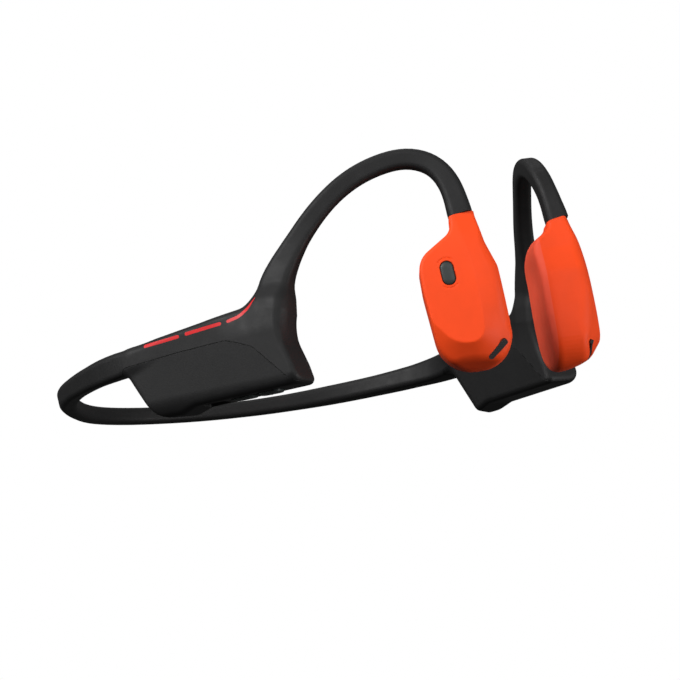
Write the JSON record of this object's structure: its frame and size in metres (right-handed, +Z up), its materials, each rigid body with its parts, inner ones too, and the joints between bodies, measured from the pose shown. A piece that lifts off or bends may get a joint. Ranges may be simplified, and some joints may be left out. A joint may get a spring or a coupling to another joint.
{
  "type": "bone conduction headphones",
  "caption": "Open-ear bone conduction headphones: flexible neckband, rear pods with keys and charging contacts, ear hooks and cheekbone transducers.",
  "frame": {"origin": "centre of the bounding box at table level: the headphones stand on the two pod bellies and the two transducer bottoms", "axes": "+Z up, -Y to the front (the transducers' side), +X to the wearer's left"},
  "size_m": [0.1198, 0.1297, 0.0499],
  "materials": {
    "black_silicone": "soft-touch silicone, satin",
    "black_plastic": "fine matt texture",
    "orange_shell": "soft-touch, smooth",
    "orange_silicone": "satin silicone",
    "key_plastic": "satin",
    "red_light": "frosted translucent",
    "grey_nylon": "moulded",
    "spring_wire": "drawn wire",
    "cable_jacket": "extruded jacket",
    "acoustic_mesh": "woven mesh",
    "stamped_steel": "stamped sheet",
    "magnet_steel": "turned, zinc plated",
    "plated_magnet": "nickel plated",
    "copper_wire": "enamelled wire, wound",
    "switch_plastic": "moulded",
    "circuit_board": "solder mask",
    "gold_contacts": "gold plated",
    "battery_foil": "laminated foil pouch"
  },
  "bodies": {
    "band_center": {"band_cable_center": "cable_jacket", "band_sleeve_center": "black_silicone", "band_wire_center": "spring_wire"},
    "left_exciter": {"left_magnet": "plated_magnet", "left_top_plate": "magnet_steel", "left_yoke": "magnet_steel"},
    "left_arm": {"left_band_cable": "cable_jacket", "left_band_sleeve": "black_silicone", "left_band_wire": "spring_wire", "left_contact_cover": "orange_silicone", "left_exciter_frame": "grey_nylon", "left_frame_rail": "grey_nylon", "left_hook_cable": "cable_jacket", "left_hook_sleeve": "black_silicone", "left_hook_wire": "spring_wire", "left_housing_skin": "black_silicone", "left_light_board": "circuit_board", "left_light_pipes": "red_light", "left_microphone": "stamped_steel", "left_pod_inner": "black_plastic", "left_pod_outer": "black_plastic", "left_spring_plate": "stamped_steel", "left_transducer_shell": "orange_shell", "left_vent_mesh": "acoustic_mesh", "left_voice_coil": "copper_wire", "battery_cell": "battery_foil", "protection_board": "circuit_board"},
    "right_exciter": {"right_magnet": "plated_magnet", "right_top_plate": "magnet_steel", "right_yoke": "magnet_steel"},
    "right_arm": {"right_band_cable": "cable_jacket", "right_band_sleeve": "black_silicone", "right_band_wire": "spring_wire", "right_contact_cover": "orange_silicone", "right_exciter_frame": "grey_nylon", "right_frame_rail": "grey_nylon", "right_hook_cable": "cable_jacket", "right_hook_sleeve": "black_silicone", "right_hook_wire": "spring_wire", "right_housing_skin": "black_silicone", "right_light_board": "circuit_board", "right_light_pipes": "red_light", "right_microphone": "stamped_steel", "right_pod_inner": "black_plastic", "right_pod_outer": "black_plastic", "right_spring_plate": "stamped_steel", "right_transducer_shell": "orange_shell", "right_vent_mesh": "acoustic_mesh", "right_voice_coil": "copper_wire", "function_switch": "switch_plastic", "tact_switches": "switch_plastic", "button_board": "circuit_board", "contact_holder": "black_plastic", "charging_contacts": "gold_contacts", "charging_magnets": "plated_magnet", "main_board": "circuit_board", "shield_can": "stamped_steel"},
    "function_key": {"function_button": "key_plastic"},
    "volume_up": {"volume_up_button": "key_plastic"},
    "volume_down": {"volume_down_button": "key_plastic"}
  },
  "joints": [
    {"name": "left_flex", "type": "hinge", "parent": "band_center", "child": "left_arm", "pos_m": [0.0373, 0.04599, 0.01112], "axis": [0, 0, 1], "range_deg": [-3, 14], "stiffness_Nm_per_rad": 1},
    {"name": "left_exciter_slide", "type": "slide", "parent": "left_arm", "child": "left_exciter", "axis": [0.766, -0.6428, 0], "range_m": [-0.0001, 0.0001], "stiffness_N_per_m": 600},
    {"name": "right_flex", "type": "hinge", "parent": "band_center", "child": "right_arm", "pos_m": [-0.0373, 0.04599, 0.01112], "axis": [0, 0, -1], "range_deg": [-3, 14], "stiffness_Nm_per_rad": 1},
    {"name": "right_exciter_slide", "type": "slide", "parent": "right_arm", "child": "right_exciter", "axis": [-0.766, -0.6428, 0], "range_m": [-0.0001, 0.0001], "stiffness_N_per_m": 600},
    {"name": "function_key_press", "type": "slide", "parent": "right_arm", "child": "function_key", "axis": [0.766, 0.6428, 0], "range_m": [0, 0.00035], "stiffness_N_per_m": 400},
    {"name": "volume_up_press", "type": "slide", "parent": "right_arm", "child": "volume_up", "axis": [0, 0, 1], "range_m": [0, 0.00035], "stiffness_N_per_m": 400},
    {"name": "volume_down_press", "type": "slide", "parent": "right_arm", "child": "volume_down", "axis": [0, 0, 1], "range_m": [0, 0.00035], "stiffness_N_per_m": 400}
  ]
}
